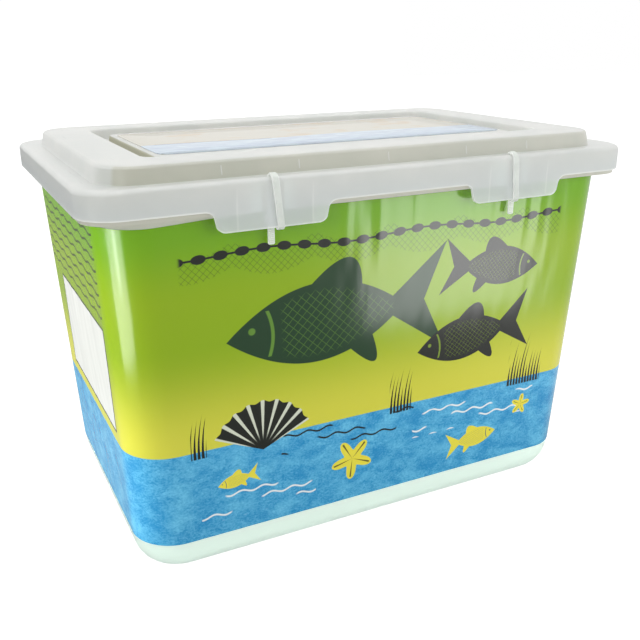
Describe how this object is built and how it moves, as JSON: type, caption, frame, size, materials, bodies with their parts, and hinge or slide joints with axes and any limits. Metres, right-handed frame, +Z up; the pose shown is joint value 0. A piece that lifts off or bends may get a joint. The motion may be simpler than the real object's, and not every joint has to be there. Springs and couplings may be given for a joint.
{
  "type": "lidded plastic storage tub",
  "caption": "Tapered translucent storage tub with a push-fit panelled lid, latch tabs, a printed wrap label and clear cable ties.",
  "frame": {"origin": "centre of the flat underside of the tub's base", "axes": "+X along the long sides, -Y towards the front with the cable ties, +Z up"},
  "size_m": [0.3, 0.1994, 0.2134],
  "materials": {
    "tub_plastic": "translucent satin",
    "lid_plastic": "translucent satin",
    "wrap_print": "printed gloss film",
    "lid_print": "printed gloss film",
    "tie_nylon": "clear nylon"
  },
  "bodies": {
    "tub_body": {"tub": "tub_plastic", "wrap_label": "wrap_print"},
    "lid_body": {"lid": "lid_plastic", "lid_label": "lid_print", "tie_left": "tie_nylon", "tie_right": "tie_nylon"}
  },
  "joints": [
    {"name": "lid_lift", "type": "slide", "parent": "tub_body", "child": "lid_body", "axis": [0, 0, 1], "range_m": [0, 0.12]}
  ]
}
